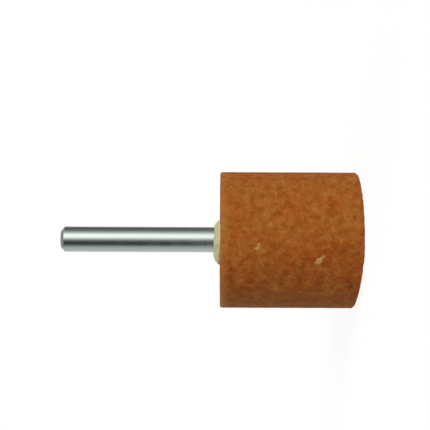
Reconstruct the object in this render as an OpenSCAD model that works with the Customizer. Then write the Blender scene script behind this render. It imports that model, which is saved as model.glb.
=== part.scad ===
// Mounted point: a fired abrasive cylinder cemented on a straight steel shank.
// It stands on the flat end of its head with the shank up along +Z. Sizes are in millimetres.

/* [Abrasive head] */
// Diameter of the abrasive cylinder
head_d = 32; // [20:0.5:50]
// Length of the abrasive cylinder
head_l = 32; // [24:0.5:60]
// Width of the edge broken off each rim
rim_break = 0.3; // [0.1:0.1:1.5]
// Width of the flat worn on one side of the end face
worn_flat_w = 12.8; // [2:0.1:14]
// Depth of that flat at the rim
worn_flat_depth = 1.05; // [0.4:0.05:1.5]

/* [Shank] */
// Diameter of the steel shank
shank_d = 6; // [4:0.5:8]
// Length of shank that stands clear of the head
shank_out = 37.3; // [20:0.1:80]
// Length of shank set into the head
shank_in = 16; // [10:1:20]
// Chamfer on each end of the shank
end_chamfer = 0.8; // [0.3:0.1:1.2]

/* [Keying grooves] */
// Width of each groove turned into the set length
groove_w = 1.2; // [0.8:0.1:2]
// Depth of each groove
groove_depth = 0.35; // [0.2:0.05:0.6]
// Distance from one groove to the next
groove_pitch = 3; // [2.5:0.1:5]
// Height of bead above the first groove
groove_cover = 0.1; // [0.05:0.05:0.2]

/* [Setting cement] */
// Thickness of cement between the shank and the wall of the bore
cement_t = 0.5; // [0.3:0.1:1]
// Thickness of cement under the set end of the shank
pad_t = 1; // [0.5:0.1:2]
// Height of the bead that stands on the face of the head
bead_h = 1.3; // [0.8:0.1:2.4]
// How far the bead spreads past the edge of the bore
bead_spread = 1.55; // [1.2:0.05:2.5]
// How far the wet bead ran to one side
bead_run = 0.6; // [0:0.1:0.8]
// Depth under the face at which the round of the bead's edge is centred
bead_arc_under = 0.3; // [0.1:0.05:0.4]
// How much the radius of that round exceeds the height of the bead
bead_arc_over = 0.45; // [0.45:0.05:1]

/* [Hidden] */
$fn = 96;

// Overlap that lets a cut pass clean through a face
cut_over = 1;

// Radii
head_r = head_d / 2;
shank_r = shank_d / 2;
bore_r = shank_r + cement_t;
bead_r = bore_r + bead_spread;

// Heights above the end face
shank_foot_z = head_l - shank_in;
shank_tip_z = head_l + shank_out;
bore_floor_z = shank_foot_z - pad_t;
first_groove_z = head_l + bead_h - groove_cover;

// Slope of the worn flat
worn_flat_angle = atan(worn_flat_depth / worn_flat_w);

// Each groove takes one pitch of the length between the first groove and the foot's chamfer
groove_count = floor((first_groove_z - shank_foot_z - end_chamfer) / groove_pitch);

// The edge of the bead is an arc through the rim of its base, cut flat at the crown
bead_arc_r = bead_h + bead_arc_over;
bead_arc_x = bead_r - sqrt(pow(bead_arc_r, 2) - pow(bead_arc_under, 2));

// Cylinder with a 45 degree edge on both ends, as a turned profile
module edged_cylinder(radius, height, edge) {
    rotate_extrude()
        polygon([
            [0, 0],
            [radius - edge, 0],
            [radius, edge],
            [radius, height - edge],
            [radius - edge, height],
            [0, height]
        ]);
}

// Ring of square section that cuts one keying groove, from its lower side up
module groove_cutter() {
    rotate_extrude()
        translate([shank_r - groove_depth, 0])
            square([groove_depth + cut_over, groove_w]);
}

// Block under the plane of the worn flat, which rises to the rim on the side of -X
module worn_flat_cutter() {
    translate([worn_flat_w - head_r, 0, 0])
        rotate([0, worn_flat_angle, 0])
            translate([-head_d, -head_r, -head_d])
                cube(head_d);
}

// Half section of the bead, standing on the face of the head
module bead_section() {
    intersection() {
        square([bead_r + bead_arc_r, bead_h]);
        union() {
            square([bead_arc_x, bead_h]);
            translate([bead_arc_x, -bead_arc_under])
                circle(r = bead_arc_r);
        }
    }
}

// Fired grit and bond, moulded with a blind bore for the shank, and worn at one side of its end
module abrasive_head() {
    color("#9d5a22")
        difference() {
            edged_cylinder(head_r, head_l, rim_break);
            translate([0, 0, bore_floor_z])
                cylinder(r = bore_r, h = head_l - bore_floor_z + cut_over);
            worn_flat_cutter();
        }
}

// Straight ground shank, with grooves on the length that the cement holds
module steel_shank() {
    color("#b9c2bf")
        difference() {
            translate([0, 0, shank_foot_z])
                edged_cylinder(shank_r, shank_tip_z - shank_foot_z, end_chamfer);
            for (i = [1 : groove_count])
                translate([0, 0, first_groove_z - groove_w - (i - 1) * groove_pitch])
                    groove_cutter();
        }
}

// One casting: the fill of the bore, and the bead that welled up round the shank
module setting_cement() {
    color("#c4c397")
        difference() {
            union() {
                translate([0, 0, bore_floor_z])
                    cylinder(r = bore_r, h = head_l - bore_floor_z);
                translate([-bead_run, 0, head_l])
                    rotate_extrude()
                        bead_section();
            }
            steel_shank();
        }
}

abrasive_head();
steel_shank();
setting_cement();
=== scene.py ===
import math

import bpy
from mathutils import Matrix, Vector


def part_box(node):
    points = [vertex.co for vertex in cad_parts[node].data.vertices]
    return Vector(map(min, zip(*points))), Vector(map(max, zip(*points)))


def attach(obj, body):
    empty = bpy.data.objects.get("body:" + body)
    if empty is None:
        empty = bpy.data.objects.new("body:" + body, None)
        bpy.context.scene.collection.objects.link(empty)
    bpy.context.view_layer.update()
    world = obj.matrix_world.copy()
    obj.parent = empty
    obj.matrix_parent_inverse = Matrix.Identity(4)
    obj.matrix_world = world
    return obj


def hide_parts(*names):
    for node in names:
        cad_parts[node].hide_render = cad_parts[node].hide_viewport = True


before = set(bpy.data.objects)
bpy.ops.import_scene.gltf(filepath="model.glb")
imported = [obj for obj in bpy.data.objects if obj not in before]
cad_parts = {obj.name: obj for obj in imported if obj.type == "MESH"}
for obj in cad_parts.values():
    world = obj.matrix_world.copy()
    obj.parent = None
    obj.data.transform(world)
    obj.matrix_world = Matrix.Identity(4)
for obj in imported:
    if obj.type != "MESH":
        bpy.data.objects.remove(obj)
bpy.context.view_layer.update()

# Abrasive head: the grinding cylinder. Grains of fused alumina in a clay and glass bond, pressed round a core
# pin that leaves the blind bore, and fired until the bond runs. Its end face is worn on one side.
MM = 0.001
_, head_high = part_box("abrasive_head")
shank_low, shank_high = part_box("steel_shank")
cement_low, cement_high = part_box("setting_cement")
HEAD_R = head_high.x
HEAD_L = head_high.z
RIM_BREAK = 0.3 * MM
CEMENT_T = 0.5 * MM
BORE_R = shank_high.x + CEMENT_T
BORE_FLOOR = cement_low.z
FACE_STEP = 0.28 * MM
HIDDEN_STEP = 4 * MM
SEAM_GAP = 0.001 * MM


def linear(code):
    """Colour written as an sRGB hex code, as the linear values that shaders take."""
    shares = [int(code[i:i + 2], 16) / 255 for i in (1, 3, 5)]
    return [s / 12.92 if s <= 0.04045 else ((s + 0.055) / 1.055) ** 2.4 for s in shares] + [1.0]


def add_node(tree, kind, inputs=None, **settings):
    """Add a node with its settings. An input that is given a socket is linked to it; others take the value.

    Inputs that share a name with others go by number. Those of Map Range are the value, the low and high end
    that it comes from, and the low and high end that it goes to. Mix has its factor first, then two numbers
    at 2 and 3, or two colours at 6 and 7.
    """
    node = tree.nodes.new(kind)
    for name, value in settings.items():
        setattr(node, name, value)
    for name, value in (inputs or {}).items():
        if isinstance(value, bpy.types.NodeSocket):
            tree.links.new(value, node.inputs[name])
        else:
            node.inputs[name].default_value = value
    return node


def new_material(name):
    """Empty node material with a Principled shader; returns the material, its tree and the shader."""
    material = bpy.data.materials.new(name)
    material.use_nodes = True
    return material, material.node_tree, material.node_tree.nodes["Principled BSDF"]


def stepped(corners, step):
    """Points along a half section of (radius, height) corners, no further apart than step."""
    points = [Vector(corners[0])]
    for start, end in zip(corners, corners[1:]):
        start, end = Vector(start), Vector(end)
        count = max(1, math.ceil((end - start).length / step))
        points += [start.lerp(end, i / count) for i in range(1, count + 1)]
    return points


def section_mesh(name, points):
    """Half section as a row of vertices in the XZ plane."""
    mesh = bpy.data.meshes.new(name)
    mesh.from_pydata([(p.x, 0, p.y) for p in points], [], [])
    return mesh


def geometry_tree(name, **inputs):
    """Geometry tree with a geometry input and named ones, given by socket type; returns it and its inputs."""
    tree = bpy.data.node_groups.new(name, "GeometryNodeTree")
    tree.interface.new_socket("Geometry", in_out="INPUT", socket_type="NodeSocketGeometry")
    tree.interface.new_socket("Geometry", in_out="OUTPUT", socket_type="NodeSocketGeometry")
    for label, kind in inputs.items():
        tree.interface.new_socket(label, in_out="INPUT", socket_type="NodeSocket" + kind)
    return tree, tree.nodes.new("NodeGroupInput").outputs


def grown_piece(name, mesh, tree, **sizes):
    """Object at the origin, with the plain mesh that the tree makes from the given mesh and sizes."""
    piece = bpy.data.objects.new(name, mesh)
    bpy.context.scene.collection.objects.link(piece)
    modifier = piece.modifiers.new(tree.name, "NODES")
    modifier.node_group = tree
    for item in tree.interface.items_tree:
        if item.in_out == "INPUT" and item.name in sizes:
            modifier[item.identifier] = sizes[item.name]
    evaluated = piece.evaluated_get(bpy.context.evaluated_depsgraph_get())
    piece.data = bpy.data.meshes.new_from_object(evaluated)
    piece.modifiers.clear()
    piece.data.name = name
    return piece


def front_point(across, up, sunk=0):
    """Point on the front of the head, or sunk below its skin, at millimetres across and up from its end."""
    x = across * MM
    return x, -math.sqrt((HEAD_R - sunk) ** 2 - x ** 2), up * MM


# Turning tree: sweeps a half section, listed from its foot up the outside, round the Z axis
lathe, given = geometry_tree("lathe", steps_round="Int")
count = add_node(lathe, "GeometryNodeAttributeDomainSize", {0: given["Geometry"]}).outputs["Point Count"]
columns = add_node(lathe, "ShaderNodeMath", {0: given["steps_round"], 1: 1}, operation="ADD")
sheet = add_node(lathe, "GeometryNodeMeshGrid", {"Vertices X": columns.outputs[0], "Vertices Y": count})
index = add_node(lathe, "GeometryNodeInputIndex").outputs[0]
row = add_node(lathe, "ShaderNodeMath", {0: index, 1: count}, operation="FLOORED_MODULO")
turns = add_node(lathe, "ShaderNodeMath", {0: index, 1: count}, operation="DIVIDE")
column = add_node(lathe, "ShaderNodeMath", {0: turns.outputs[0]}, operation="FLOOR")
share = add_node(
    lathe, "ShaderNodeMath", {0: column.outputs[0], 1: given["steps_round"]}, operation="DIVIDE",
)
angle = add_node(lathe, "ShaderNodeMath", {0: share.outputs[0], 1: math.tau}, operation="MULTIPLY")
here = add_node(lathe, "GeometryNodeInputPosition").outputs[0]
drawn = add_node(
    lathe, "GeometryNodeSampleIndex",
    {"Geometry": given["Geometry"], "Value": here, "Index": row.outputs[0]}, data_type="FLOAT_VECTOR",
)
turned = add_node(
    lathe, "ShaderNodeVectorRotate",
    {"Vector": drawn.outputs[0], "Angle": angle.outputs[0]}, rotation_type="Z_AXIS",
)
swept = add_node(
    lathe, "GeometryNodeSetPosition", {"Geometry": sheet.outputs[0], "Position": turned.outputs[0]},
)
closed = add_node(
    lathe, "GeometryNodeMergeByDistance", {"Geometry": swept.outputs[0], "Distance": SEAM_GAP},
)
smooth = add_node(
    lathe, "GeometryNodeSetShadeSmooth", {"Geometry": closed.outputs[0], "Shade Smooth": True},
)
add_node(lathe, "NodeGroupOutput", {0: smooth.outputs[0]})

# Vitrified alumina: open, dry and gritty, so it is matt all over. The orange bond drifts in tone and between
# red and ochre over a few millimetres, with faint lighter veins; it is red-brown where it is thick, and its
# pores are dark. The side of -X is redder and darker, most of all towards the end face. Pale powder dusts the
# rims, most by the shank. Pits are painted darker as painted shade, and the side of -X is painted greyer and
# its rim paler, as a painted veil of pale reflected light.
BOND_LIGHT = "#BB7833"
BOND_DARK = "#894003"
RED_FIRED = "#AE501B"
OCHRE_FIRED = "#AF7830"
BOND_RED = "#8A430E"
TAN_GRAIN = "#C08A4A"
PORE_AND_PIT_SHADE = "#5A2C0E"
PAINTED_VEIL = "#9E7549"
RIM_POWDER_AND_VEIL = "#C49150"
# Width of each pattern, and how far the warp pulls the edges of grains, red patches and veins
GRIT = 0.5 * MM
FINE_GRIT = GRIT / 3
DRIFT = 1.6 * MM
FIRING = 5.5 * MM
RED_PATCH = 2.2 * MM
VEIN = 3 * MM
WARP = 0.9 * MM
WARP_REACH = 0.5 * MM
NOISE_MIDDLE = (0.5, 0.5, 0.5)
# Where each pattern's colour sets in and where it is full, in that pattern's values, and its largest share
GRAIN_TINT = 0.09
BOND_FROM = 0.29
BOND_FULL = 0.75
HUE_FROM = 0.36
HUE_FULL = 0.64
HUE_SHARE = 0.38
RED_FROM = 0.5
RED_FULL = 0.68
RED_SHARE = 0.6
VEIN_FROM = 1
VEIN_FULL = 1.6
VEIN_SHARE = 0.24
TAN_FROM = 0.975
TAN_FULL = 0.99
TAN_SHARE = 0.34
PORE_FROM = 0.5
PORE_FULL = 0.9
PORE_SHARE = 0.28
PIT_SHADE_SHARE = 0.4
# Redder side and painted veil, in X, and what they change; the redder side is tilted along the head
LESS_RED_SIDE = 9 * MM
REDDER_SIDE = -2 * MM
REDDER_TILT = 0.3
REDDER_HUE = -0.11
REDDER_SIDE_RED = 0.09
PAINTED_VEIL_FROM = -9.5 * MM
PAINTED_VEIL_FULL = -14.5 * MM
PAINTED_VEIL_SHARE = 0.27
# Rim powder from the face to the end, and how much paler the rim is painted on the side of -X
FACE_POWDER = 0.55
END_POWDER = 0.08
RIM_PAINTED_VEIL = 2.8
BUMP_STRENGTH = 0.18
BUMP_DEPTH = 0.1 * MM
fired, tree, shader = new_material("vitrified_alumina")
spot = add_node(tree, "ShaderNodeTexCoord").outputs["Object"]
warp = add_node(tree, "ShaderNodeTexNoise", {"Vector": spot, "Scale": 1 / WARP, "Detail": 2})
aside = add_node(
    tree, "ShaderNodeVectorMath", {0: warp.outputs["Color"], 1: NOISE_MIDDLE}, operation="SUBTRACT",
)
ragged = add_node(
    tree, "ShaderNodeVectorMath",
    {0: aside.outputs[0], 1: (WARP_REACH, WARP_REACH, WARP_REACH), 2: spot}, operation="MULTIPLY_ADD",
)
grit = add_node(tree, "ShaderNodeTexVoronoi", {"Vector": ragged.outputs[0], "Scale": 1 / GRIT})
tint = add_node(tree, "ShaderNodeSeparateColor", {0: grit.outputs["Color"]})
drift = add_node(
    tree, "ShaderNodeTexNoise", {"Vector": spot, "Scale": 1 / DRIFT, "Detail": 3, "Roughness": 0.5},
)
tone = add_node(
    tree, "ShaderNodeMix",
    {0: GRAIN_TINT, 2: drift.outputs["Fac"], 3: tint.outputs[0]}, data_type="FLOAT",
)
bond = add_node(tree, "ShaderNodeMapRange", {0: tone.outputs[0], 1: BOND_FROM, 2: BOND_FULL})
body = add_node(
    tree, "ShaderNodeMix",
    {0: bond.outputs[0], 6: linear(BOND_DARK), 7: linear(BOND_LIGHT)}, data_type="RGBA",
)
heat = add_node(
    tree, "ShaderNodeTexNoise", {"Vector": spot, "Scale": 1 / FIRING, "Detail": 3, "Roughness": 0.65},
)
axes = add_node(tree, "ShaderNodeSeparateXYZ", {0: spot})
# Redder and darker towards -X, most so towards the end face
tilted = add_node(
    tree, "ShaderNodeMath",
    {0: axes.outputs[2], 1: REDDER_TILT, 2: axes.outputs[0]}, operation="MULTIPLY_ADD",
)
toward_red_side = add_node(tree, "ShaderNodeMapRange", {0: tilted.outputs[0], 1: LESS_RED_SIDE, 2: REDDER_SIDE})
side_hue = add_node(
    tree, "ShaderNodeMath",
    {0: toward_red_side.outputs[0], 1: REDDER_HUE, 2: heat.outputs["Fac"]}, operation="MULTIPLY_ADD",
)
fired_hue = add_node(tree, "ShaderNodeMapRange", {0: side_hue.outputs[0], 1: HUE_FROM, 2: HUE_FULL})
hue = add_node(
    tree, "ShaderNodeMix",
    {0: fired_hue.outputs[0], 6: linear(RED_FIRED), 7: linear(OCHRE_FIRED)}, data_type="RGBA",
)
hued = add_node(
    tree, "ShaderNodeMix", {0: HUE_SHARE, 6: body.outputs[2], 7: hue.outputs[2]}, data_type="RGBA",
)
thick = add_node(
    tree, "ShaderNodeTexNoise", {"Vector": ragged.outputs[0], "Scale": 1 / RED_PATCH, "Detail": 3},
)
side_red = add_node(
    tree, "ShaderNodeMath",
    {0: toward_red_side.outputs[0], 1: REDDER_SIDE_RED, 2: thick.outputs["Fac"]}, operation="MULTIPLY_ADD",
)
red = add_node(
    tree, "ShaderNodeMapRange", {0: side_red.outputs[0], 1: RED_FROM, 2: RED_FULL, 4: RED_SHARE},
)
reddened = add_node(
    tree, "ShaderNodeMix",
    {0: red.outputs[0], 6: hued.outputs[2], 7: linear(BOND_RED)}, data_type="RGBA",
)
ridges = add_node(
    tree, "ShaderNodeTexNoise",
    {"Vector": ragged.outputs[0], "Scale": 1 / VEIN, "Detail": 3, "Offset": 1},
    noise_type="RIDGED_MULTIFRACTAL",
)
vein = add_node(
    tree, "ShaderNodeMapRange", {0: ridges.outputs["Fac"], 1: VEIN_FROM, 2: VEIN_FULL, 4: VEIN_SHARE},
)
veined = add_node(
    tree, "ShaderNodeMix",
    {0: vein.outputs[0], 6: reddened.outputs[2], 7: linear(TAN_GRAIN)}, data_type="RGBA",
)
tan = add_node(
    tree, "ShaderNodeMapRange", {0: tint.outputs[1], 1: TAN_FROM, 2: TAN_FULL, 4: TAN_SHARE},
)
flecked = add_node(
    tree, "ShaderNodeMix",
    {0: tan.outputs[0], 6: veined.outputs[2], 7: linear(TAN_GRAIN)}, data_type="RGBA",
)
between = add_node(
    tree, "ShaderNodeMapRange", {0: grit.outputs["Distance"], 1: PORE_FROM, 2: PORE_FULL, 4: PORE_SHARE},
)
pored = add_node(
    tree, "ShaderNodeMix",
    {0: between.outputs[0], 6: flecked.outputs[2], 7: linear(PORE_AND_PIT_SHADE)}, data_type="RGBA",
)
# Pits are darkened with the pore colour: painted shade in their hollows
pit = add_node(tree, "ShaderNodeAttribute", attribute_name="pit")
painted_pit_shade = add_node(tree, "ShaderNodeMath", {0: pit.outputs["Fac"], 1: PIT_SHADE_SHARE}, operation="MULTIPLY")
with_painted_pit_shade = add_node(
    tree, "ShaderNodeMix",
    {0: painted_pit_shade.outputs[0], 6: pored.outputs[2], 7: linear(PORE_AND_PIT_SHADE)}, data_type="RGBA",
)
# The side of -X is greyed: a painted veil of pale reflected light
painted_veil_side = add_node(tree, "ShaderNodeMapRange", {0: axes.outputs[0], 1: PAINTED_VEIL_FROM, 2: PAINTED_VEIL_FULL})
painted_veil_mask = add_node(tree, "ShaderNodeMath", {0: painted_veil_side.outputs[0], 1: PAINTED_VEIL_SHARE}, operation="MULTIPLY")
with_painted_veil = add_node(
    tree, "ShaderNodeMix",
    {0: painted_veil_mask.outputs[0], 6: with_painted_pit_shade.outputs[2], 7: linear(PAINTED_VEIL)}, data_type="RGBA",
)
rim = add_node(tree, "ShaderNodeAttribute", attribute_name="rim")
patchy = add_node(
    tree, "ShaderNodeMath", {0: rim.outputs["Fac"], 1: warp.outputs["Fac"]}, operation="MULTIPLY",
)
along = add_node(
    tree, "ShaderNodeMapRange", {0: axes.outputs[2], 1: 0, 2: HEAD_L, 3: END_POWDER, 4: FACE_POWDER},
)
# The rim is paler still on the side of -X: painted reflected light over the powder
more = add_node(tree, "ShaderNodeMapRange", {0: painted_veil_side.outputs[0], 3: 1, 4: RIM_PAINTED_VEIL})
laid = add_node(tree, "ShaderNodeMath", {0: along.outputs[0], 1: more.outputs[0]}, operation="MULTIPLY")
powder_and_painted_light = add_node(
    tree, "ShaderNodeMath", {0: patchy.outputs[0], 1: laid.outputs[0]}, operation="MULTIPLY",
)
dusted = add_node(
    tree, "ShaderNodeMix",
    {0: powder_and_painted_light.outputs[0], 6: with_painted_veil.outputs[2], 7: linear(RIM_POWDER_AND_VEIL)}, data_type="RGBA",
)
fine = add_node(tree, "ShaderNodeTexNoise", {"Vector": spot, "Scale": 1 / FINE_GRIT, "Detail": 3})
height = add_node(
    tree, "ShaderNodeMath", {0: fine.outputs["Fac"], 1: grit.outputs["Distance"]}, operation="SUBTRACT",
)
bump = add_node(
    tree, "ShaderNodeBump",
    {"Height": height.outputs[0], "Strength": BUMP_STRENGTH, "Distance": BUMP_DEPTH},
)
tree.links.new(dusted.outputs[2], shader.inputs["Base Color"])
tree.links.new(bump.outputs[0], shader.inputs["Normal"])
shader.inputs["Roughness"].default_value = 0.9
shader.inputs["Specular IOR Level"].default_value = 0.22

# Relief of the head: the plane of the worn flat, then grains, pits and crumbled rims, all cut inwards. The
# bowl of a pit is given in shares of the spacing between pits, and the chips in values of their noise.
MERGE_GAP = 0.02 * MM
BOWL_FLOOR = 0.05
BOWL_EDGE = 0.3
CHIP_FROM = 0.42
CHIP_FULL = 0.7
CRISP_FOLD = math.radians(38)
relief, given = geometry_tree(
    "fired_grit_relief", steps_round="Int", radius="Float", length="Float", worn_width="Float",
    worn_depth="Float", grain="Float", grain_depth="Float", pit_spacing="Float", pit_depth="Float",
    pit_share="Float", front_pits="Object", front_pit_reach="Float", rim_reach="Float", rim_depth="Float",
    powder_reach="Float", swell="Float", swell_depth="Float",
)
blank = add_node(
    relief, "GeometryNodeGroup",
    {"Geometry": given["Geometry"], "steps_round": given["steps_round"]}, node_tree=lathe,
)
here = add_node(relief, "GeometryNodeInputPosition").outputs[0]
axes = add_node(relief, "ShaderNodeSeparateXYZ", {0: here})

# Worn flat: what lies under its plane is raised to it
inner = add_node(
    relief, "ShaderNodeMath", {0: given["radius"], 1: given["worn_width"]}, operation="SUBTRACT",
)
past = add_node(relief, "ShaderNodeMath", {0: axes.outputs[0], 1: inner.outputs[0]}, operation="ADD")
slope = add_node(
    relief, "ShaderNodeMath", {0: given["worn_depth"], 1: given["worn_width"]}, operation="DIVIDE",
)
rise = add_node(relief, "ShaderNodeMath", {0: past.outputs[0], 1: slope.outputs[0]}, operation="MULTIPLY")
plane = add_node(relief, "ShaderNodeMath", {0: 0, 1: rise.outputs[0]}, operation="SUBTRACT")
raised = add_node(
    relief, "ShaderNodeMath", {0: axes.outputs[2], 1: plane.outputs[0]}, operation="MAXIMUM",
)
placed = add_node(
    relief, "ShaderNodeCombineXYZ", {0: axes.outputs[0], 1: axes.outputs[1], 2: raised.outputs[0]},
)
worn = add_node(
    relief, "GeometryNodeSetPosition", {"Geometry": blank.outputs[0], "Position": placed.outputs[0]},
)
merged = add_node(
    relief, "GeometryNodeMergeByDistance", {"Geometry": worn.outputs[0], "Distance": MERGE_GAP},
)

# Grains, and pits where a coarse grain has come out: some strewn all over, and those that show on the front
per_grain = add_node(relief, "ShaderNodeMath", {0: 1, 1: given["grain"]}, operation="DIVIDE")
grains = add_node(relief, "ShaderNodeTexVoronoi", {"Vector": here, "Scale": per_grain.outputs[0]})
grain_cut = add_node(
    relief, "ShaderNodeMath",
    {0: grains.outputs["Distance"], 1: given["grain_depth"]}, operation="MULTIPLY",
)
per_pit = add_node(relief, "ShaderNodeMath", {0: 1, 1: given["pit_spacing"]}, operation="DIVIDE")
pits = add_node(relief, "ShaderNodeTexVoronoi", {"Vector": here, "Scale": per_pit.outputs[0]})
pit_tint = add_node(relief, "FunctionNodeSeparateColor", {0: pits.outputs["Color"]})
is_pit = add_node(
    relief, "ShaderNodeMath", {0: pit_tint.outputs[0], 1: given["pit_share"]}, operation="LESS_THAN",
)
bowl = add_node(
    relief, "ShaderNodeMapRange",
    {0: pits.outputs["Distance"], 1: BOWL_FLOOR, 2: BOWL_EDGE, 3: 1, 4: 0}, interpolation_type="SMOOTHSTEP",
)
strewn = add_node(
    relief, "ShaderNodeMath", {0: bowl.outputs[0], 1: is_pit.outputs[0]}, operation="MULTIPLY",
)
seats = add_node(relief, "GeometryNodeObjectInfo", {"Object": given["front_pits"]}).outputs["Geometry"]
nearest = add_node(relief, "GeometryNodeProximity", {0: seats}, target_element="POINTS")
seen = add_node(
    relief, "ShaderNodeMapRange",
    {0: nearest.outputs["Distance"], 1: 0, 2: given["front_pit_reach"], 3: 1, 4: 0},
    interpolation_type="SMOOTHSTEP",
)
pit_form = add_node(
    relief, "ShaderNodeMath", {0: strewn.outputs[0], 1: seen.outputs[0]}, operation="MAXIMUM",
)
pit_cut = add_node(
    relief, "ShaderNodeMath", {0: pit_form.outputs[0], 1: given["pit_depth"]}, operation="MULTIPLY",
)

# Rims, by the distance to the nearer corner of the section: chips close to them, powder further out
flat = add_node(relief, "ShaderNodeCombineXYZ", {0: axes.outputs[0], 1: axes.outputs[1]})
out = add_node(relief, "ShaderNodeVectorMath", {0: flat.outputs[0]}, operation="LENGTH").outputs["Value"]
side_gap = add_node(relief, "ShaderNodeMath", {0: given["radius"], 1: out}, operation="SUBTRACT")
middle = add_node(relief, "ShaderNodeMath", {0: given["length"], 1: 0.5}, operation="MULTIPLY")
from_middle = add_node(
    relief, "ShaderNodeMath", {0: axes.outputs[2], 1: middle.outputs[0]}, operation="SUBTRACT",
)
off_middle = add_node(relief, "ShaderNodeMath", {0: from_middle.outputs[0]}, operation="ABSOLUTE")
end_gap = add_node(
    relief, "ShaderNodeMath", {0: middle.outputs[0], 1: off_middle.outputs[0]}, operation="SUBTRACT",
)
corner = add_node(relief, "ShaderNodeCombineXYZ", {0: side_gap.outputs[0], 1: end_gap.outputs[0]})
rim_gap = add_node(
    relief, "ShaderNodeVectorMath", {0: corner.outputs[0]}, operation="LENGTH",
).outputs["Value"]
near_rim = add_node(
    relief, "ShaderNodeMapRange",
    {0: rim_gap, 1: 0, 2: given["rim_reach"], 3: 1, 4: 0}, interpolation_type="SMOOTHSTEP",
)
rubbed = add_node(
    relief, "ShaderNodeMapRange",
    {0: rim_gap, 1: 0, 2: given["powder_reach"], 3: 1, 4: 0}, interpolation_type="SMOOTHSTEP",
)
per_chip = add_node(relief, "ShaderNodeMath", {0: 1, 1: given["rim_reach"]}, operation="DIVIDE")
chips = add_node(
    relief, "ShaderNodeTexNoise", {"Vector": here, "Scale": per_chip.outputs[0], "Detail": 3},
)
chip_form = add_node(relief, "ShaderNodeMapRange", {0: chips.outputs["Fac"], 1: CHIP_FROM, 2: CHIP_FULL})
chip_near = add_node(
    relief, "ShaderNodeMath", {0: chip_form.outputs[0], 1: near_rim.outputs[0]}, operation="MULTIPLY",
)
chip_cut = add_node(
    relief, "ShaderNodeMath", {0: chip_near.outputs[0], 1: given["rim_depth"]}, operation="MULTIPLY",
)

# Slow swell of the pressed skin, and the sum of all the cuts
per_swell = add_node(relief, "ShaderNodeMath", {0: 1, 1: given["swell"]}, operation="DIVIDE")
swells = add_node(
    relief, "ShaderNodeTexNoise", {"Vector": here, "Scale": per_swell.outputs[0], "Detail": 2},
)
swell_cut = add_node(
    relief, "ShaderNodeMath", {0: swells.outputs["Fac"], 1: given["swell_depth"]}, operation="MULTIPLY",
)
cut = grain_cut
for next_cut in (pit_cut, swell_cut, chip_cut):
    cut = add_node(relief, "ShaderNodeMath", {0: cut.outputs[0], 1: next_cut.outputs[0]}, operation="ADD")
inwards = add_node(relief, "ShaderNodeMath", {0: 0, 1: cut.outputs[0]}, operation="SUBTRACT")
normal = add_node(relief, "GeometryNodeInputNormal").outputs[0]
move = add_node(
    relief, "ShaderNodeVectorMath", {0: normal, "Scale": inwards.outputs[0]}, operation="SCALE",
)
# The pits' form is kept for the material, which paints shade in them
marked = add_node(
    relief, "GeometryNodeStoreNamedAttribute",
    {"Geometry": merged.outputs[0], "Name": "pit", "Value": pit_form.outputs[0]}, data_type="FLOAT",
)
rimmed = add_node(
    relief, "GeometryNodeStoreNamedAttribute",
    {"Geometry": marked.outputs[0], "Name": "rim", "Value": rubbed.outputs[0]}, data_type="FLOAT",
)
gritty = add_node(
    relief, "GeometryNodeSetPosition", {"Geometry": rimmed.outputs[0], "Offset": move.outputs[0]},
)
fold = add_node(relief, "GeometryNodeInputMeshEdgeAngle").outputs[0]
crisp = add_node(relief, "ShaderNodeMath", {0: fold, 1: CRISP_FOLD}, operation="GREATER_THAN")
edged = add_node(
    relief, "GeometryNodeSetShadeSmooth",
    {"Geometry": gritty.outputs[0], "Selection": crisp.outputs[0], "Shade Smooth": False}, domain="EDGE",
)
whole = add_node(relief, "GeometryNodeRealizeInstances", {0: edged.outputs[0]})
dressed = add_node(
    relief, "GeometryNodeSetMaterial", {"Geometry": whole.outputs[0], "Material": fired},
)
add_node(relief, "NodeGroupOutput", {0: dressed.outputs[0]})

FRONT_PITS = (
    # millimetres across, and up from the end face
    (-6.4, 29.5),
    (-5.0, 9.3),
    (3.8, 18.2),
    (-5.4, 13.7),
    (-3.2, 22.4),
)
pit_seats = bpy.data.meshes.new("front_pit_seats")
pit_seats.from_pydata([front_point(across, up) for across, up in FRONT_PITS], [], [])
front_pits = bpy.data.objects.new("front_pit_seats", pit_seats)
bpy.context.scene.collection.objects.link(front_pits)
outside = stepped(
    [
        (0, 0), (HEAD_R - RIM_BREAK, 0), (HEAD_R, RIM_BREAK), (HEAD_R, HEAD_L - RIM_BREAK),
        (HEAD_R - RIM_BREAK, HEAD_L), (BORE_R, HEAD_L),
    ],
    FACE_STEP,
)
bore = stepped([(BORE_R, HEAD_L), (BORE_R, BORE_FLOOR), (0, BORE_FLOOR)], HIDDEN_STEP)
head = grown_piece(
    "grinding_head", section_mesh("head_section", outside + bore[1:]), relief,
    steps_round=round(math.tau * HEAD_R / FACE_STEP), radius=HEAD_R, length=HEAD_L,
    worn_width=12.8 * MM, worn_depth=1.05 * MM, grain=0.65 * MM, grain_depth=0.06 * MM,
    pit_spacing=2.6 * MM, pit_depth=0.2 * MM, pit_share=0.08,
    front_pits=front_pits, front_pit_reach=0.65 * MM,
    rim_reach=0.9 * MM, rim_depth=0.16 * MM, powder_reach=2.6 * MM, swell=7 * MM, swell_depth=0.03 * MM,
)
bpy.data.objects.remove(front_pits)
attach(head, "root")
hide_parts("abrasive_head")

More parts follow.
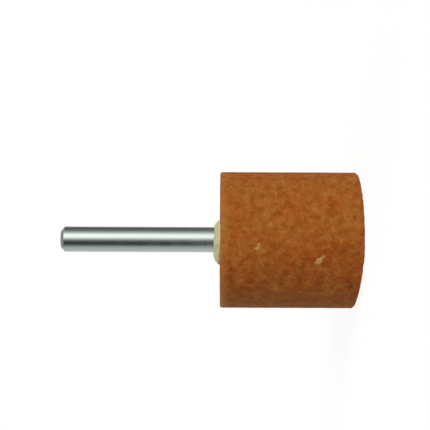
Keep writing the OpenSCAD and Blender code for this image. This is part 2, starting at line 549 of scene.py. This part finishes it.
# Pale grains: a few coarse grains of white alumina that went into the mix with the rest. They lie in the skin
# of the head, held by the bond; those on the front are where the photograph shows them.
FRONT_GRAINS = (
    # millimetres across, up from the end face, and long; then the way it lies, across and up
    (-1.4, 23.9, 2.0, 0.4, -0.9),
    (-0.6, 23.4, 1.3, 0.7, -0.7),
    (-4.2, 10.2, 3.1, 0.7, -0.7),
    (-3.2, 9.2, 1.4, 0.6, -0.8),
)
SEAT_DEPTH = 0.06 * MM
seats = bpy.data.meshes.new("front_grain_seats")
seats.from_pydata([front_point(across, up, SEAT_DEPTH) for across, up, *_ in FRONT_GRAINS], [], [])
lengths = seats.attributes.new("grain_length", "FLOAT", "POINT")
lies = seats.attributes.new("grain_lie", "FLOAT_VECTOR", "POINT")
for i, (_, _, length, lie_across, lie_up) in enumerate(FRONT_GRAINS):
    lengths.data[i].value = length * MM
    lies.data[i].vector = (lie_across, 0, lie_up)

# White fused alumina: a clear to milky grain, here dusted by the bond, so it shows as a warm cream fleck
PALE_GRAIN = "#C9A468"
DUSTED_GRAIN = "#B0813F"
DUST_SPOT = 0.5 * MM
DUSTED_FROM = 0.4
DUSTED_FULL = 0.65
pale, tree, shader = new_material("white_alumina_grain")
spot = add_node(tree, "ShaderNodeTexCoord").outputs["Object"]
dust = add_node(tree, "ShaderNodeTexNoise", {"Vector": spot, "Scale": 1 / DUST_SPOT, "Detail": 3})
dusty = add_node(tree, "ShaderNodeMapRange", {0: dust.outputs["Fac"], 1: DUSTED_FROM, 2: DUSTED_FULL})
grain = add_node(
    tree, "ShaderNodeMix",
    {0: dusty.outputs[0], 6: linear(PALE_GRAIN), 7: linear(DUSTED_GRAIN)}, data_type="RGBA",
)
tree.links.new(grain.outputs[2], shader.inputs["Base Color"])
shader.inputs["Roughness"].default_value = 0.8
shader.inputs["Specular IOR Level"].default_value = 0.2

# Scatter of the grains: a ball, one length across, is dented and sunk. Flattened to a shard and scaled to
# each grain's own length, it then lies on the seats in front and is strewn over the back.
BALL_R = 0.5
BALL_SUNK = 0.2
DENTS_PER_LENGTH = 1.7
DENT_FROM = 0.1
DENT_FULL = 0.8
DENT_KEEPS = 0.62
SHARD = (1, 0.62, 0.16)
scatter, given = geometry_tree(
    "pale_grain_scatter", head="Object", density="Float", seed="Int", shortest="Float", longest="Float",
    back_of="Float", bore="Float",
)
front = add_node(scatter, "GeometryNodeMeshToPoints", {"Mesh": given["Geometry"]}).outputs[0]
ground = add_node(scatter, "GeometryNodeObjectInfo", {"Object": given["head"]}).outputs["Geometry"]
here = add_node(scatter, "GeometryNodeInputPosition").outputs[0]
axes = add_node(scatter, "ShaderNodeSeparateXYZ", {0: here})
flat = add_node(scatter, "ShaderNodeCombineXYZ", {0: axes.outputs[0], 1: axes.outputs[1]})
out = add_node(scatter, "ShaderNodeVectorMath", {0: flat.outputs[0]}, operation="LENGTH").outputs["Value"]
behind = add_node(
    scatter, "ShaderNodeMath", {0: axes.outputs[1], 1: given["back_of"]}, operation="GREATER_THAN",
)
clear = add_node(scatter, "ShaderNodeMath", {0: out, 1: given["bore"]}, operation="GREATER_THAN")
free = add_node(scatter, "ShaderNodeMath", {0: behind.outputs[0], 1: clear.outputs[0]}, operation="MULTIPLY")
strewn = add_node(
    scatter, "GeometryNodeDistributePointsOnFaces",
    {"Mesh": ground, "Selection": free.outputs[0], "Density": given["density"], "Seed": given["seed"]},
)
size = add_node(
    scatter, "FunctionNodeRandomValue",
    {2: given["shortest"], 3: given["longest"], "Seed": given["seed"]}, data_type="FLOAT",
)
lie = add_node(
    scatter, "FunctionNodeRandomValue",
    {0: (-1, -1, -1), 1: (1, 1, 1), "Seed": given["seed"]}, data_type="FLOAT_VECTOR",
)
radial = add_node(scatter, "ShaderNodeVectorMath", {0: flat.outputs[0]}, operation="NORMALIZE").outputs[0]
own_size = add_node(
    scatter, "GeometryNodeInputNamedAttribute", {"Name": "grain_length"}, data_type="FLOAT",
)
own_lie = add_node(
    scatter, "GeometryNodeInputNamedAttribute", {"Name": "grain_lie"}, data_type="FLOAT_VECTOR",
)
ball = add_node(scatter, "GeometryNodeMeshIcoSphere", {"Radius": BALL_R, "Subdivisions": 2})
knock = add_node(scatter, "ShaderNodeTexVoronoi", {"Vector": here, "Scale": DENTS_PER_LENGTH})
dent = add_node(
    scatter, "ShaderNodeMapRange",
    {0: knock.outputs["Distance"], 1: DENT_FROM, 2: DENT_FULL, 3: 1, 4: DENT_KEEPS},
)
broken = add_node(
    scatter, "ShaderNodeVectorMath", {0: here, "Scale": dent.outputs[0]}, operation="SCALE",
)
shard = add_node(
    scatter, "GeometryNodeSetPosition",
    {"Geometry": ball.outputs[0], "Position": broken.outputs[0], "Offset": (0, 0, -BALL_SUNK)},
)
crops = []
for points, up, way, long in (
    (front, radial, own_lie.outputs[0], own_size.outputs[0]),
    (strewn.outputs["Points"], strewn.outputs["Normal"], lie.outputs[0], size.outputs[1]),
):
    stood = add_node(scatter, "FunctionNodeAlignRotationToVector", {"Vector": up}, axis="Z")
    laid = add_node(
        scatter, "FunctionNodeAlignRotationToVector",
        {"Rotation": stood.outputs[0], "Vector": way}, axis="X", pivot_axis="Z",
    )
    scale = add_node(scatter, "ShaderNodeVectorMath", {0: SHARD, "Scale": long}, operation="SCALE")
    crop = add_node(
        scatter, "GeometryNodeInstanceOnPoints",
        {
            "Points": points, "Instance": shard.outputs[0],
            "Rotation": laid.outputs[0], "Scale": scale.outputs[0],
        },
    )
    crops.append(crop.outputs[0])
joined = add_node(scatter, "GeometryNodeJoinGeometry")
for crop in crops:
    scatter.links.new(crop, joined.inputs[0])
whole = add_node(scatter, "GeometryNodeRealizeInstances", {0: joined.outputs[0]})
dressed = add_node(
    scatter, "GeometryNodeSetMaterial", {"Geometry": whole.outputs[0], "Material": pale},
)
add_node(scatter, "NodeGroupOutput", {0: dressed.outputs[0]})
grains = grown_piece(
    "pale_grains", seats, scatter, head=head, density=9000.0, seed=11,
    shortest=0.5 * MM, longest=1.4 * MM, back_of=2 * MM, bore=6.5 * MM,
)
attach(grains, "root")

# Steel shank: a straight length of bright ground bar, chamfered at both ends. Rings are turned into the end
# that is set in the head, for the cement to hold; the rest is plain, to go into a collet.
SHANK_R = shank_high.x
SHANK_FOOT = shank_low.z
SHANK_TIP = shank_high.z
CHAMFER = 0.8 * MM
BAR_STEP = 0.5 * MM
GROOVE_W = 1.2 * MM
GROOVE_DEPTH = 0.35 * MM
GROOVE_PITCH = 3 * MM
GROOVE_COVER = 0.1 * MM
FIRST_GROOVE = cement_high.z - GROOVE_COVER
GROOVES = math.floor((FIRST_GROOVE - SHANK_FOOT - CHAMFER) / GROOVE_PITCH)
keyed_wall = []
for i in reversed(range(GROOVES)):
    top = FIRST_GROOVE - i * GROOVE_PITCH
    keyed_wall += [
        (SHANK_R, top - GROOVE_W), (SHANK_R - GROOVE_DEPTH, top - GROOVE_W),
        (SHANK_R - GROOVE_DEPTH, top), (SHANK_R, top),
    ]
foot = [(0, SHANK_FOOT), (SHANK_R - CHAMFER, SHANK_FOOT), (SHANK_R, SHANK_FOOT + CHAMFER)]
tip = [(SHANK_R, SHANK_TIP - CHAMFER), (SHANK_R - CHAMFER, SHANK_TIP), (0, SHANK_TIP)]

# Ground steel: bright, with fine lines round the bar from the wheel and a faint cloud of handling. The lines
# are drawn ten times coarser than a real wheel leaves them, so that they show.
STEEL_LIGHT = "#CAD3CD"
STEEL_DARK = "#BAC4BE"
GRIND_LINE = 0.12 * MM
LINE_STRETCH = (0.02, 0.02, 1)
LINE_SHARE = 0.4
LINE_BUMP = 0.08
LINE_DEPTH = 0.01 * MM
CLOUD = 3 * MM
POLISH_FROM = 0.3
POLISH_FULL = 0.7
SMOOTHEST = 0.13
ROUGHEST = 0.22
steel, tree, shader = new_material("ground_steel")
spot = add_node(tree, "ShaderNodeTexCoord").outputs["Object"]
ringed = add_node(tree, "ShaderNodeMapping", {"Vector": spot, "Scale": LINE_STRETCH})
lines = add_node(
    tree, "ShaderNodeTexNoise", {"Vector": ringed.outputs[0], "Scale": 1 / GRIND_LINE, "Detail": 2},
)
cloud = add_node(tree, "ShaderNodeTexNoise", {"Vector": spot, "Scale": 1 / CLOUD, "Detail": 3})
shade = add_node(
    tree, "ShaderNodeMix",
    {0: LINE_SHARE, 2: cloud.outputs["Fac"], 3: lines.outputs["Fac"]}, data_type="FLOAT",
)
metal = add_node(
    tree, "ShaderNodeMix",
    {0: shade.outputs[0], 6: linear(STEEL_DARK), 7: linear(STEEL_LIGHT)}, data_type="RGBA",
)
polish = add_node(
    tree, "ShaderNodeMapRange",
    {0: shade.outputs[0], 1: POLISH_FROM, 2: POLISH_FULL, 3: SMOOTHEST, 4: ROUGHEST},
)
bump = add_node(
    tree, "ShaderNodeBump", {"Height": lines.outputs["Fac"], "Strength": LINE_BUMP, "Distance": LINE_DEPTH},
)
tree.links.new(metal.outputs[2], shader.inputs["Base Color"])
tree.links.new(polish.outputs[0], shader.inputs["Roughness"])
tree.links.new(bump.outputs[0], shader.inputs["Normal"])
shader.inputs["Metallic"].default_value = 1

# Ground bar: the turned section, faintly wavy along its length, which bends what it mirrors
BAR_FOLD = math.radians(20)
bar, given = geometry_tree("ground_bar", steps_round="Int", wave="Float", wave_depth="Float")
blank = add_node(
    bar, "GeometryNodeGroup",
    {"Geometry": given["Geometry"], "steps_round": given["steps_round"]}, node_tree=lathe,
)
here = add_node(bar, "GeometryNodeInputPosition").outputs[0]
per_wave = add_node(bar, "ShaderNodeMath", {0: 1, 1: given["wave"]}, operation="DIVIDE")
waves = add_node(bar, "ShaderNodeTexNoise", {"Vector": here, "Scale": per_wave.outputs[0], "Detail": 1})
wave_cut = add_node(
    bar, "ShaderNodeMath", {0: waves.outputs["Fac"], 1: given["wave_depth"]}, operation="MULTIPLY",
)
inwards = add_node(bar, "ShaderNodeMath", {0: 0, 1: wave_cut.outputs[0]}, operation="SUBTRACT")
normal = add_node(bar, "GeometryNodeInputNormal").outputs[0]
move = add_node(bar, "ShaderNodeVectorMath", {0: normal, "Scale": inwards.outputs[0]}, operation="SCALE")
wavy = add_node(bar, "GeometryNodeSetPosition", {"Geometry": blank.outputs[0], "Offset": move.outputs[0]})
fold = add_node(bar, "GeometryNodeInputMeshEdgeAngle").outputs[0]
crisp = add_node(bar, "ShaderNodeMath", {0: fold, 1: BAR_FOLD}, operation="GREATER_THAN")
edged = add_node(
    bar, "GeometryNodeSetShadeSmooth",
    {"Geometry": wavy.outputs[0], "Selection": crisp.outputs[0], "Shade Smooth": False}, domain="EDGE",
)
whole = add_node(bar, "GeometryNodeRealizeInstances", {0: edged.outputs[0]})
dressed = add_node(bar, "GeometryNodeSetMaterial", {"Geometry": whole.outputs[0], "Material": steel})
add_node(bar, "NodeGroupOutput", {0: dressed.outputs[0]})
shank = grown_piece(
    "ground_shank", section_mesh("shank_section", stepped(foot + keyed_wall + tip, BAR_STEP)), bar,
    steps_round=128, wave=5 * MM, wave_depth=0.02 * MM,
)
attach(shank, "root")
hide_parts("steel_shank")

# Setting cement: cream cement poured into the bore round the shank. It welled up as a bead on the head's
# face, ran to one side while it was wet and set there, thicker on that side, with a smooth but uneven skin.
BEAD_R = (cement_high.x - cement_low.x) / 2
BEAD_RUN = -(cement_high.x + cement_low.x) / 2
BEAD_H = cement_high.z - HEAD_L
BEAD_SUNK = 0.15 * MM
BEAD_STEP = 0.15 * MM
DOME_R = 3 * MM
DOME_POINTS = 18
FOOT_R = BEAD_R + 0.1 * MM
FOOT_H = 0.3 * MM
FEATHER_R = FOOT_R + 0.1 * MM

# Half section: the fill, the skin from the feather edge over an arc to the lip, and the seat down the shank
foot_edge = Vector((FOOT_R, HEAD_L + FOOT_H))
lip_edge = Vector((SHANK_R, HEAD_L + BEAD_H))
chord = lip_edge - foot_edge
to_centre = Vector((-chord.y, chord.x)).normalized()
dome_centre = (foot_edge + lip_edge) / 2 + to_centre * math.sqrt(DOME_R ** 2 - (chord.length / 2) ** 2)
dome_low, dome_high = (math.atan2(*(edge - dome_centre).yx) for edge in (foot_edge, lip_edge))
dome = []
for i in range(DOME_POINTS + 1):
    turn = dome_low + (dome_high - dome_low) * i / DOME_POINTS
    dome.append((dome_centre.x + DOME_R * math.cos(turn), dome_centre.y + DOME_R * math.sin(turn)))
fill = [(0, BORE_FLOOR), (BORE_R, BORE_FLOOR), (BORE_R, HEAD_L - BEAD_SUNK)]
skin = stepped([(FEATHER_R, HEAD_L - BEAD_SUNK), (FEATHER_R, HEAD_L), *dome], BEAD_STEP)
seat = [(SHANK_R, cement_high.z), *reversed(keyed_wall), *reversed(foot)]
section = stepped(fill, HIDDEN_STEP) + skin + stepped(seat, HIDDEN_STEP)[1:]

# Dry setting cement: cream with a green cast, a waxy skin, faint clouds and a few darker specks. It is warmer
# at its foot, where it took up powder from the head. Towards -X, the side to which it ran, it is painted
# darker and its foot warmer still, as painted shade.
CREAM = "#E2E6BC"
CREAM_SHADE = "#BBBF90"
WARM_FOOT = "#F2DCA6"
SPECK = "#97966A"
PASTE_CLOUD = 1.6 * MM
CLOUD_FROM = 0.25
CLOUD_FULL = 0.75
PAINTED_SIDE_SHADE = -0.018 / MM
WARM_REACH = 0.8 * MM
RUN_SIDE = -4 * MM
FAR_SIDE = -1.5 * MM
MOST_POWDER_AND_SHADE = 0.7
LEAST_POWDER_AND_SHADE = 0.25
SPECK_SPACING = 0.7 * MM
SPECK_CORE = 0.1
SPECK_EDGE = 0.2
SPECK_SHARE = 0.5
SKIN_GRAIN = 0.3 * MM
SKIN_BUMP = 0.25
SKIN_DEPTH = 0.05 * MM
cream, tree, shader = new_material("cream_setting_cement")
spot = add_node(tree, "ShaderNodeTexCoord").outputs["Object"]
cloud = add_node(tree, "ShaderNodeTexNoise", {"Vector": spot, "Scale": 1 / PASTE_CLOUD, "Detail": 4})
axes = add_node(tree, "ShaderNodeSeparateXYZ", {0: spot})
# Darker towards -X, the side away from the soft box: painted shade
cloud_and_side_shade = add_node(
    tree, "ShaderNodeMath",
    {0: axes.outputs[0], 1: PAINTED_SIDE_SHADE, 2: cloud.outputs["Fac"]}, operation="MULTIPLY_ADD",
)
clouded = add_node(tree, "ShaderNodeMapRange", {0: cloud_and_side_shade.outputs[0], 1: CLOUD_FROM, 2: CLOUD_FULL})
paste = add_node(
    tree, "ShaderNodeMix",
    {0: clouded.outputs[0], 6: linear(CREAM), 7: linear(CREAM_SHADE)}, data_type="RGBA",
)
# The foot's warmth is strongest towards -X: powder, with painted shade on that side
powder_and_painted_light = add_node(
    tree, "ShaderNodeMapRange",
    {0: axes.outputs[0], 1: RUN_SIDE, 2: FAR_SIDE, 3: MOST_POWDER_AND_SHADE, 4: LEAST_POWDER_AND_SHADE},
)
low = add_node(
    tree, "ShaderNodeMapRange",
    {0: axes.outputs[2], 1: HEAD_L, 2: HEAD_L + WARM_REACH, 3: powder_and_painted_light.outputs[0], 4: 0},
)
warmed = add_node(
    tree, "ShaderNodeMix",
    {0: low.outputs[0], 6: paste.outputs[2], 7: linear(WARM_FOOT)}, data_type="RGBA",
)
specks = add_node(tree, "ShaderNodeTexVoronoi", {"Vector": spot, "Scale": 1 / SPECK_SPACING})
speck = add_node(
    tree, "ShaderNodeMapRange",
    {0: specks.outputs["Distance"], 1: SPECK_CORE, 2: SPECK_EDGE, 3: SPECK_SHARE, 4: 0},
)
specked = add_node(
    tree, "ShaderNodeMix",
    {0: speck.outputs[0], 6: warmed.outputs[2], 7: linear(SPECK)}, data_type="RGBA",
)
fine = add_node(tree, "ShaderNodeTexNoise", {"Vector": spot, "Scale": 1 / SKIN_GRAIN, "Detail": 3})
bump = add_node(
    tree, "ShaderNodeBump", {"Height": fine.outputs["Fac"], "Strength": SKIN_BUMP, "Distance": SKIN_DEPTH},
)
tree.links.new(specked.outputs[2], shader.inputs["Base Color"])
tree.links.new(bump.outputs[0], shader.inputs["Normal"])
shader.inputs["Roughness"].default_value = 0.5

# Poured bead: the turned casting, let run and lean to one side where it stands on the face. The bore holds it
# up to one height from the face, and it is free from the next; its lip may sink by a share of its cover.
HELD_TO = -0.3 * MM
FREE_FROM = -0.05 * MM
LUMP_LOW = 0.3
LUMP_HIGH = 0.7
LIP_SINK = 0.8
pour, given = geometry_tree(
    "poured_bead", steps_round="Int", shank_radius="Float", bead_radius="Float", face="Float", run="Float",
    lean="Float", level="Float", grip="Float", crown="Float", cover="Float", lump="Float", lump_depth="Float",
)
blank = add_node(
    pour, "GeometryNodeGroup",
    {"Geometry": given["Geometry"], "steps_round": given["steps_round"]}, node_tree=lathe,
)
here = add_node(pour, "GeometryNodeInputPosition").outputs[0]
axes = add_node(pour, "ShaderNodeSeparateXYZ", {0: here})
flat = add_node(pour, "ShaderNodeCombineXYZ", {0: axes.outputs[0], 1: axes.outputs[1]})
out = add_node(pour, "ShaderNodeVectorMath", {0: flat.outputs[0]}, operation="LENGTH").outputs["Value"]
above = add_node(pour, "ShaderNodeMath", {0: axes.outputs[2], 1: given["face"]}, operation="SUBTRACT")
proud = add_node(pour, "ShaderNodeMath", {0: above.outputs[0], 1: 0}, operation="MAXIMUM")
spread = add_node(
    pour, "ShaderNodeMapRange", {0: out, 1: given["shank_radius"], 2: given["bead_radius"]},
)
exposed = add_node(pour, "ShaderNodeMapRange", {0: above.outputs[0], 1: HELD_TO, 2: FREE_FROM})

# Lumps and run, which grow from nothing at the shank to all of their size at the foot
loose = add_node(
    pour, "ShaderNodeMath", {0: spread.outputs[0], 1: exposed.outputs[0]}, operation="MULTIPLY",
)
per_lump = add_node(pour, "ShaderNodeMath", {0: 1, 1: given["lump"]}, operation="DIVIDE")
lumps = add_node(pour, "ShaderNodeTexNoise", {"Vector": here, "Scale": per_lump.outputs[0], "Detail": 2})
lump_rise = add_node(
    pour, "ShaderNodeMapRange",
    {0: lumps.outputs["Fac"], 1: LUMP_LOW, 2: LUMP_HIGH, 3: -1, 4: 1}, clamp=False,
)
lump_out = add_node(
    pour, "ShaderNodeMath", {0: lump_rise.outputs[0], 1: given["lump_depth"]}, operation="MULTIPLY",
)
lump_here = add_node(
    pour, "ShaderNodeMath", {0: lump_out.outputs[0], 1: loose.outputs[0]}, operation="MULTIPLY",
)
radial = add_node(pour, "ShaderNodeVectorMath", {0: flat.outputs[0]}, operation="NORMALIZE").outputs[0]
bulge = add_node(
    pour, "ShaderNodeVectorMath", {0: radial, "Scale": lump_here.outputs[0]}, operation="SCALE",
)
shift = add_node(pour, "ShaderNodeMath", {0: loose.outputs[0], 1: given["run"]}, operation="MULTIPLY")
aside = add_node(pour, "ShaderNodeMath", {0: 0, 1: shift.outputs[0]}, operation="SUBTRACT")

# Height, stretched more on the side of the run. Against the shank only the lip moves with it, and it never
# sinks as far as the first groove.
tilt = add_node(pour, "ShaderNodeMath", {0: axes.outputs[0], 1: given["lean"]}, operation="MULTIPLY")
share = add_node(pour, "ShaderNodeMath", {0: given["level"], 1: tilt.outputs[0]}, operation="SUBTRACT")
stretch = add_node(pour, "ShaderNodeMath", {0: share.outputs[0], 1: 1}, operation="SUBTRACT")
let_go = add_node(pour, "ShaderNodeMath", {0: 1, 1: spread.outputs[0]}, operation="SUBTRACT")
held = add_node(pour, "ShaderNodeMath", {0: let_go.outputs[0], 1: given["grip"]}, operation="POWER")
slack = add_node(pour, "ShaderNodeMath", {0: 1, 1: held.outputs[0]}, operation="SUBTRACT")
skin_give = add_node(
    pour, "ShaderNodeMath", {0: stretch.outputs[0], 1: slack.outputs[0]}, operation="MULTIPLY",
)
sunk = add_node(pour, "ShaderNodeMath", {0: given["crown"], 1: given["cover"]}, operation="SUBTRACT")
lip = add_node(pour, "ShaderNodeMapRange", {0: above.outputs[0], 1: sunk.outputs[0], 2: given["crown"]})
drop = add_node(pour, "ShaderNodeMath", {0: given["cover"], 1: given["crown"]}, operation="DIVIDE")
least = add_node(pour, "ShaderNodeMath", {0: drop.outputs[0], 1: -LIP_SINK}, operation="MULTIPLY")
kept = add_node(pour, "ShaderNodeMath", {0: stretch.outputs[0], 1: least.outputs[0]}, operation="MAXIMUM")
lip_held = add_node(pour, "ShaderNodeMath", {0: lip.outputs[0], 1: held.outputs[0]}, operation="MULTIPLY")
give = add_node(
    pour, "ShaderNodeMath",
    {0: kept.outputs[0], 1: lip_held.outputs[0], 2: skin_give.outputs[0]}, operation="MULTIPLY_ADD",
)
lift = add_node(pour, "ShaderNodeMath", {0: proud.outputs[0], 1: give.outputs[0]}, operation="MULTIPLY")
ran = add_node(pour, "ShaderNodeCombineXYZ", {0: aside.outputs[0], 2: lift.outputs[0]})
move = add_node(pour, "ShaderNodeVectorMath", {0: ran.outputs[0], 1: bulge.outputs[0]}, operation="ADD")
slumped = add_node(
    pour, "GeometryNodeSetPosition", {"Geometry": blank.outputs[0], "Offset": move.outputs[0]},
)
whole = add_node(pour, "GeometryNodeRealizeInstances", {0: slumped.outputs[0]})
dressed = add_node(pour, "GeometryNodeSetMaterial", {"Geometry": whole.outputs[0], "Material": cream})
add_node(pour, "NodeGroupOutput", {0: dressed.outputs[0]})
bead = grown_piece(
    "cement_bead", section_mesh("cement_section", section), pour,
    steps_round=144, shank_radius=SHANK_R, bead_radius=FOOT_R, face=HEAD_L, run=BEAD_RUN,
    lean=0.034 / MM, level=1.125, grip=8, crown=BEAD_H, cover=GROOVE_COVER,
    lump=2.2 * MM, lump_depth=0.08 * MM,
)
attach(bead, "root")
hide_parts("setting_cement")

# Floor: a plain white sheet that the point stands on. What the camera and the steel see of it is mostly white
# of its own, as much as brings its lit share up to the white around it, and the lit share keeps the shadow.
FLOOR_HALF = 0.5
FLOOR_WHITE = "#F4F4F2"
OWN_WHITE = 0.85
LIT_LEVEL = 0.62
floor_corners = [(x * FLOOR_HALF, y * FLOOR_HALF, 0) for x, y in ((-1, -1), (1, -1), (1, 1), (-1, 1))]
floor_mesh = bpy.data.meshes.new("floor")
floor_mesh.from_pydata(floor_corners, [], [(0, 1, 2, 3)])
floor = bpy.data.objects.new("floor", floor_mesh)
bpy.context.scene.collection.objects.link(floor)
sheet_white, tree, shader = new_material("white_sheet")
shader.inputs["Base Color"].default_value = linear(FLOOR_WHITE)
shader.inputs["Roughness"].default_value = 1
shader.inputs["Specular IOR Level"].default_value = 0
glow = add_node(tree, "ShaderNodeEmission", {"Strength": (1 - (1 - OWN_WHITE) * LIT_LEVEL) / OWN_WHITE})
rays = add_node(tree, "ShaderNodeLightPath")
direct = add_node(
    tree, "ShaderNodeMath",
    {0: rays.outputs["Is Camera Ray"], 1: rays.outputs["Is Glossy Ray"]}, operation="MAXIMUM",
)
seen = add_node(
    tree, "ShaderNodeMath",
    {0: direct.outputs[0], 1: rays.outputs["Is Transmission Ray"]}, operation="MAXIMUM",
)
own = add_node(tree, "ShaderNodeMath", {0: seen.outputs[0], 1: OWN_WHITE}, operation="MULTIPLY")
surface = add_node(
    tree, "ShaderNodeMixShader", {0: own.outputs[0], 1: shader.outputs[0], 2: glow.outputs[0]},
)
tree.links.new(surface.outputs[0], tree.nodes["Material Output"].inputs["Surface"])
floor_mesh.materials.append(sheet_white)

# Surroundings: white behind the point, and a studio for the steel to mirror, as seen round the upright axis.
# Its darker walls are cooler.
ROOM = (
    # degrees from the camera towards the soft box, and how bright the room is there
    (-180, 0.9), (-140, 0.78), (-110, 0.7), (-84, 0.62), (-66, 0.42), (-54, 0.19), (-45, 0.075),
    (-34, 0.06), (-20, 0.1), (-5, 0.34), (12, 1.1), (22, 1.6), (42, 1.65), (54, 1.15), (66, 0.67),
    (84, 0.31), (102, 0.17), (128, 0.15), (152, 0.5), (179, 0.9),
)
RED_IN_THE_DARK = 0.72
CEILING = 0.38
CEILING_FROM = 0.45
CEILING_FULL = 0.75
AMBIENT = 0.255
AMBIENT_COLOUR = "#F2F6FF"
world = bpy.data.worlds.new("studio")
bpy.context.scene.world = world
world.use_nodes = True
tree = world.node_tree
tree.nodes.clear()
way = add_node(tree, "ShaderNodeTexCoord").outputs["Generated"]
facing = add_node(tree, "ShaderNodeMapping", {"Vector": way, "Rotation": (0, 0, math.radians(90))})
round_axis = add_node(tree, "ShaderNodeTexGradient", {0: facing.outputs[0]}, gradient_type="RADIAL")
room = add_node(tree, "ShaderNodeValToRGB", {0: round_axis.outputs["Fac"]})
stops = room.color_ramp.elements
for place, (degrees, level) in enumerate(ROOM):
    stop = stops[place] if place < len(stops) else stops.new(1)
    stop.position = (degrees + 180) / 360
    red_level = level * min(1, RED_IN_THE_DARK + level)
    stop.color = (red_level, level, level, 1)
upright = add_node(tree, "ShaderNodeSeparateXYZ", {0: way})
overhead = add_node(
    tree, "ShaderNodeMapRange", {0: upright.outputs[2], 1: CEILING_FROM, 2: CEILING_FULL},
)
around = add_node(
    tree, "ShaderNodeMix",
    {0: overhead.outputs[0], 6: room.outputs[0], 7: (CEILING, CEILING, CEILING, 1)}, data_type="RGBA",
)
mirrored = add_node(tree, "ShaderNodeBackground", {"Color": around.outputs[2], "Strength": 1})
ambient = add_node(
    tree, "ShaderNodeBackground", {"Color": linear(AMBIENT_COLOUR), "Strength": AMBIENT},
)
white = add_node(tree, "ShaderNodeBackground", {"Color": (1, 1, 1, 1), "Strength": 1})
rays = add_node(tree, "ShaderNodeLightPath")
through = add_node(
    tree, "ShaderNodeMath",
    {0: rays.outputs["Is Camera Ray"], 1: rays.outputs["Is Transmission Ray"]}, operation="MAXIMUM",
)
lit = add_node(
    tree, "ShaderNodeMixShader", {0: through.outputs[0], 1: ambient.outputs[0], 2: white.outputs[0]},
)
seen = add_node(
    tree, "ShaderNodeMixShader",
    {0: rays.outputs["Is Glossy Ray"], 1: lit.outputs[0], 2: mirrored.outputs[0]},
)
add_node(tree, "ShaderNodeOutputWorld", {"Surface": seen.outputs[0]})

# Lights: a soft box in front, above the head and towards the side that the camera has as its top, and a
# weaker one behind. The steel doesn't mirror them, because the surroundings hold the soft box that it shows.
LIGHT_DISTANCE = 0.5
LIGHT_SPREAD = math.radians(30)
for name, degrees_round, degrees_up, level, colour in (
    ("soft_box", 36, 35, 1.97, "#FFF6EA"),
    ("back_fill", 215, 40, 0.6, "#F4F7FF"),
):
    turn = math.radians(degrees_round)
    climb = math.radians(degrees_up)
    way = Vector((math.sin(turn) * math.cos(climb), -math.cos(turn) * math.cos(climb), math.sin(climb)))
    lamp = bpy.data.lights.new(name, "SUN")
    lamp.angle = LIGHT_SPREAD
    lamp.energy = level
    lamp.color = linear(colour)[:3]
    box = bpy.data.objects.new(name, lamp)
    box.location = Vector((0, 0, HEAD_L)) + way * LIGHT_DISTANCE
    box.rotation_euler = way.to_track_quat("Z", "Y").to_euler()
    box.visible_glossy = False
    bpy.context.scene.collection.objects.link(box)

# Camera: square to the shank, turned on its side so that the shank points to the left of the picture. Its
# place is measured from the shank's axis and from the head's face, past which it stands by a little.
PICTURE = 430
FOCAL_PIXELS = 1019.7
SENSOR_WIDTH = 36
NEAREST = 10 * MM
VIEW_DISTANCE = 240.6 * MM
VIEW_ABOVE = 5.84 * MM
VIEW_PAST_FACE = 1.18 * MM
VIEW_ROLL = -0.0043
lens = bpy.data.cameras.new("camera")
lens.sensor_width = SENSOR_WIDTH
lens.lens = SENSOR_WIDTH * FOCAL_PIXELS / PICTURE
lens.clip_start = NEAREST
camera = bpy.data.objects.new("camera", lens)
picture_right = Vector((0, 0, -1))
picture_up = Vector((1, 0, 0))
towards_lens = Vector((0, -1, 0))
turn = Matrix((picture_right, picture_up, towards_lens)).transposed() @ Matrix.Rotation(-VIEW_ROLL, 3, "Z")
place = Matrix.Translation((VIEW_ABOVE, -VIEW_DISTANCE, HEAD_L + VIEW_PAST_FACE))
camera.matrix_world = place @ turn.to_4x4()
bpy.context.scene.collection.objects.link(camera)
bpy.context.scene.camera = camera
bpy.context.scene.view_settings.view_transform = "Standard"
